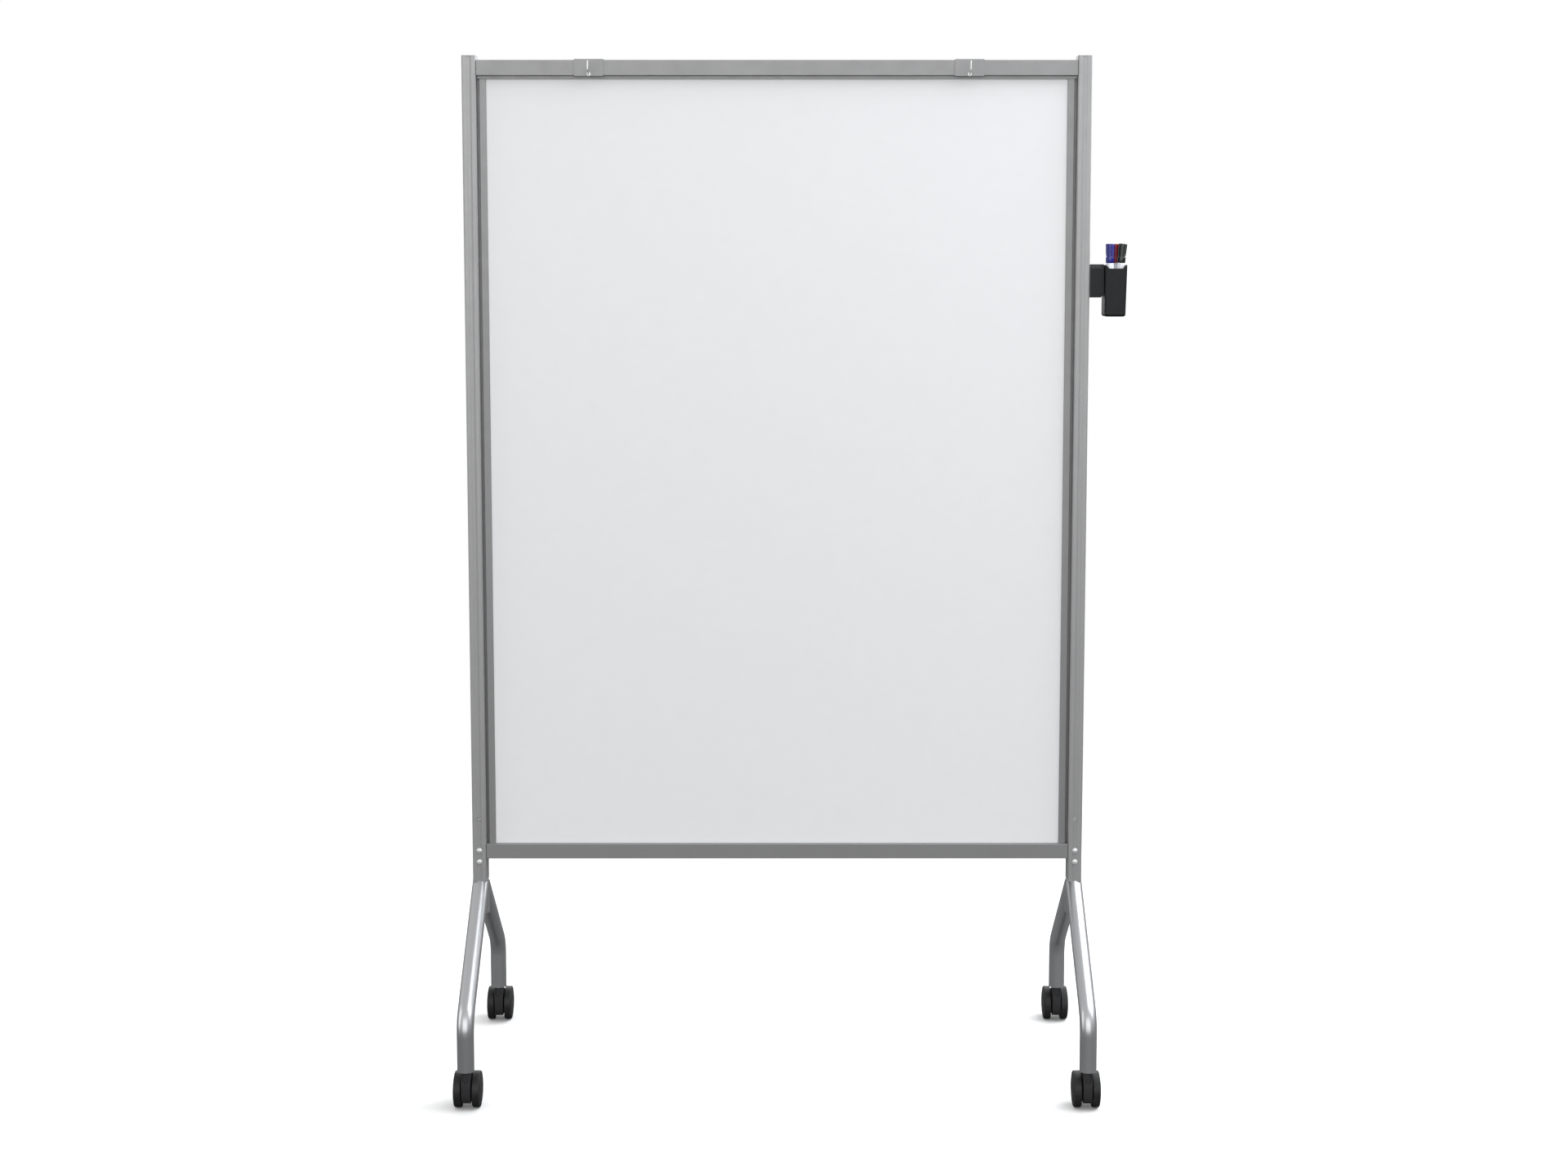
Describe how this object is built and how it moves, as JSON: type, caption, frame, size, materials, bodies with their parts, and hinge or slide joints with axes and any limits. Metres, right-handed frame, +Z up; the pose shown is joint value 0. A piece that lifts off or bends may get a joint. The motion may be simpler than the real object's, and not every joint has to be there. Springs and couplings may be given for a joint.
{
  "type": "rolling whiteboard",
  "caption": "Two-sided upright whiteboard on bent tube legs with twin-wheel swivel casters, sliding flip-chart hook clips and a side pen cup with markers.",
  "frame": {"origin": "on the floor, in the middle of the overall footprint box; the board's own centre line is 27.1 mm to the left of it and 20.9 mm in front of it", "axes": "+Z up; +X to the right seen from the front; the front writing face looks towards -Y"},
  "size_m": [1.1933, 0.5567, 1.8415],
  "materials": {
    "frame_grey": "satin powder coat over extruded aluminium",
    "leg_silver": "silver gloss enamel on bent steel tube",
    "steel": "zinc plated",
    "white_enamel": "gloss white enamel on steel sheet",
    "core_board": "raw fibreboard",
    "cast_block": "as cast",
    "black_plastic": "fine moulded texture",
    "wheel_black": "smooth hard rubber",
    "cup_plastic": "satin moulded",
    "marker_white": "glossy",
    "cap_blue": "glossy",
    "cap_red": "glossy",
    "cap_black": "glossy"
  },
  "bodies": {
    "frame": {"post_left": "frame_grey", "post_right": "frame_grey", "post_cap_left": "frame_grey", "post_cap_right": "frame_grey", "top_rail": "frame_grey", "bottom_rail": "frame_grey", "rail_blocks": "cast_block", "rail_screws": "steel", "panel_core": "core_board", "front_writing_sheet": "white_enamel", "rear_writing_sheet": "white_enamel", "trim_left": "frame_grey", "trim_right": "frame_grey", "trim_top": "frame_grey", "trim_bottom": "frame_grey", "leg_stub_left": "leg_silver", "leg_stub_right": "leg_silver", "leg_tube_front_left": "leg_silver", "leg_tube_front_right": "leg_silver", "leg_tube_rear_left": "leg_silver", "leg_tube_rear_right": "leg_silver", "leg_bolts": "steel", "leg_nuts": "steel", "spigot_screws": "steel", "stem_sockets": "black_plastic", "caster_stems": "steel", "holder_pad": "black_plastic", "holder_bracket": "black_plastic"},
    "caster_front_left": {"caster_hood_front_left": "black_plastic", "caster_axle_front_left": "steel"},
    "wheel_outer_front_left": {"wheel_outer_front_left": "wheel_black"},
    "wheel_inner_front_left": {"wheel_inner_front_left": "wheel_black"},
    "brake_front_left": {"brake_lever_front_left": "black_plastic"},
    "caster_front_right": {"caster_hood_front_right": "black_plastic", "caster_axle_front_right": "steel"},
    "wheel_outer_front_right": {"wheel_outer_front_right": "wheel_black"},
    "wheel_inner_front_right": {"wheel_inner_front_right": "wheel_black"},
    "brake_front_right": {"brake_lever_front_right": "black_plastic"},
    "caster_rear_left": {"caster_hood_rear_left": "black_plastic", "caster_axle_rear_left": "steel"},
    "wheel_outer_rear_left": {"wheel_outer_rear_left": "wheel_black"},
    "wheel_inner_rear_left": {"wheel_inner_rear_left": "wheel_black"},
    "caster_rear_right": {"caster_hood_rear_right": "black_plastic", "caster_axle_rear_right": "steel"},
    "wheel_outer_rear_right": {"wheel_outer_rear_right": "wheel_black"},
    "wheel_inner_rear_right": {"wheel_inner_rear_right": "wheel_black"},
    "clip_left": {"clip_saddle_left": "frame_grey", "clip_hook_left": "steel"},
    "clip_right": {"clip_saddle_right": "frame_grey", "clip_hook_right": "steel"},
    "pen_cup": {"pen_cup": "cup_plastic"},
    "marker_blue": {"marker_barrel_blue": "marker_white"},
    "cap_blue": {"marker_cap_blue": "cap_blue"},
    "marker_red": {"marker_barrel_red": "marker_white"},
    "cap_red": {"marker_cap_red": "cap_red"},
    "marker_black": {"marker_barrel_black": "marker_white"},
    "cap_black": {"marker_cap_black": "cap_black"}
  },
  "joints": [
    {"name": "swivel_front_left", "type": "hinge", "parent": "frame", "child": "caster_front_left", "pos_m": [-0.57112, -0.26338, 0.074], "axis": [0, 0, 1], "continuous": true},
    {"name": "roll_outer_front_left", "type": "hinge", "parent": "caster_front_left", "child": "wheel_outer_front_left", "pos_m": [-0.57112, -0.23838, 0.03175], "axis": [1, 0, 0], "continuous": true},
    {"name": "roll_inner_front_left", "type": "hinge", "parent": "caster_front_left", "child": "wheel_inner_front_left", "pos_m": [-0.57112, -0.23838, 0.03175], "axis": [1, 0, 0], "continuous": true},
    {"name": "brake_front_left", "type": "hinge", "parent": "caster_front_left", "child": "brake_front_left", "pos_m": [-0.57112, -0.22137, 0.046], "axis": [-1, 0, 0], "range_deg": [0, 12]},
    {"name": "swivel_front_right", "type": "hinge", "parent": "frame", "child": "caster_front_right", "pos_m": [0.51687, -0.26338, 0.074], "axis": [0, 0, 1], "continuous": true},
    {"name": "roll_outer_front_right", "type": "hinge", "parent": "caster_front_right", "child": "wheel_outer_front_right", "pos_m": [0.51687, -0.23838, 0.03175], "axis": [1, 0, 0], "continuous": true},
    {"name": "roll_inner_front_right", "type": "hinge", "parent": "caster_front_right", "child": "wheel_inner_front_right", "pos_m": [0.51687, -0.23838, 0.03175], "axis": [1, 0, 0], "continuous": true},
    {"name": "brake_front_right", "type": "hinge", "parent": "caster_front_right", "child": "brake_front_right", "pos_m": [0.51687, -0.22137, 0.046], "axis": [-1, 0, 0], "range_deg": [0, 12]},
    {"name": "swivel_rear_left", "type": "hinge", "parent": "frame", "child": "caster_rear_left", "pos_m": [-0.57112, 0.22162, 0.074], "axis": [0, 0, 1], "continuous": true},
    {"name": "roll_outer_rear_left", "type": "hinge", "parent": "caster_rear_left", "child": "wheel_outer_rear_left", "pos_m": [-0.57112, 0.24663, 0.03175], "axis": [1, 0, 0], "continuous": true},
    {"name": "roll_inner_rear_left", "type": "hinge", "parent": "caster_rear_left", "child": "wheel_inner_rear_left", "pos_m": [-0.57112, 0.24663, 0.03175], "axis": [1, 0, 0], "continuous": true},
    {"name": "swivel_rear_right", "type": "hinge", "parent": "frame", "child": "caster_rear_right", "pos_m": [0.51687, 0.22162, 0.074], "axis": [0, 0, 1], "continuous": true},
    {"name": "roll_outer_rear_right", "type": "hinge", "parent": "caster_rear_right", "child": "wheel_outer_rear_right", "pos_m": [0.51687, 0.24663, 0.03175], "axis": [1, 0, 0], "continuous": true},
    {"name": "roll_inner_rear_right", "type": "hinge", "parent": "caster_rear_right", "child": "wheel_inner_rear_right", "pos_m": [0.51687, 0.24663, 0.03175], "axis": [1, 0, 0], "continuous": true},
    {"name": "clip_left_slide", "type": "slide", "parent": "frame", "child": "clip_left", "axis": [1, 0, 0], "range_m": [-0.17, 0.3]},
    {"name": "clip_right_slide", "type": "slide", "parent": "frame", "child": "clip_right", "axis": [1, 0, 0], "range_m": [-0.3, 0.16]},
    {"name": "cup_lift", "type": "slide", "parent": "frame", "child": "pen_cup", "axis": [0, 0, 1], "range_m": [0, 0.05]},
    {"name": "marker_blue_lift", "type": "slide", "parent": "pen_cup", "child": "marker_blue", "axis": [0, 0, 1], "range_m": [0, 0.12]},
    {"name": "cap_blue_pull", "type": "slide", "parent": "marker_blue", "child": "cap_blue", "axis": [0, 0, 1], "range_m": [0, 0.04]},
    {"name": "marker_red_lift", "type": "slide", "parent": "pen_cup", "child": "marker_red", "axis": [0, 0, 1], "range_m": [0, 0.12]},
    {"name": "cap_red_pull", "type": "slide", "parent": "marker_red", "child": "cap_red", "axis": [0, 0, 1], "range_m": [0, 0.04]},
    {"name": "marker_black_lift", "type": "slide", "parent": "pen_cup", "child": "marker_black", "axis": [0.0872, 0, 0.9962], "range_m": [0, 0.12]},
    {"name": "cap_black_pull", "type": "slide", "parent": "marker_black", "child": "cap_black", "axis": [0.0872, 0, 0.9962], "range_m": [0, 0.04]}
  ]
}
